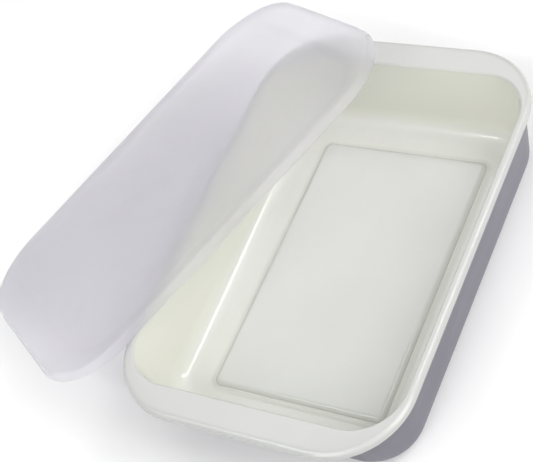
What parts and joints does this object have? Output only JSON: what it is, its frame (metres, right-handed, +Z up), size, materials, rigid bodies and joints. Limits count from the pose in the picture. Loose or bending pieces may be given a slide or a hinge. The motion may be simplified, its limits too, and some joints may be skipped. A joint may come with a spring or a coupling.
{
  "type": "wet palette",
  "caption": "Shallow rectangular tray with a raised floor panel, nested in an outer case, with a sponge, a palette sheet and a translucent lid set askew on its rim.",
  "frame": {"origin": "centre of the case's flat underside, on the table", "axes": "+Z up out of the tray; Y along the palette's length, X across its width"},
  "size_m": [0.3342, 0.3123, 0.0922],
  "materials": {
    "case_plastic": "satin lavender-grey moulded plastic",
    "tray_plastic": "glossy off-white moulded plastic",
    "sponge_foam": "fine open-cell sponge",
    "sheet_paper": "smooth coated palette paper, damp",
    "lid_plastic": "frosted translucent moulded plastic"
  },
  "bodies": {
    "case": {"outer_case": "case_plastic"},
    "tray": {"inner_tray": "tray_plastic"},
    "sponge": {"sponge": "sponge_foam"},
    "sheet": {"palette_sheet": "sheet_paper"},
    "lid": {"lid": "lid_plastic"}
  },
  "joints": [
    {"name": "tray_lift", "type": "slide", "parent": "case", "child": "tray", "axis": [0, 0, 1], "range_m": [0, 0.09]},
    {"name": "lid_lift", "type": "slide", "parent": "tray", "child": "lid", "axis": [0, 0, 1], "range_m": [0, 0.16]},
    {"name": "sheet_lift", "type": "slide", "parent": "tray", "child": "sheet", "axis": [0, 0, 1], "range_m": [0, 0.1]},
    {"name": "sponge_lift", "type": "slide", "parent": "tray", "child": "sponge", "axis": [0, 0, 1], "range_m": [0, 0.08]}
  ],
  "couplings": [
    {"joint": "sheet_lift", "follows": "lid_lift", "ratio": 0.6},
    {"joint": "sponge_lift", "follows": "lid_lift", "ratio": 0.45}
  ]
}
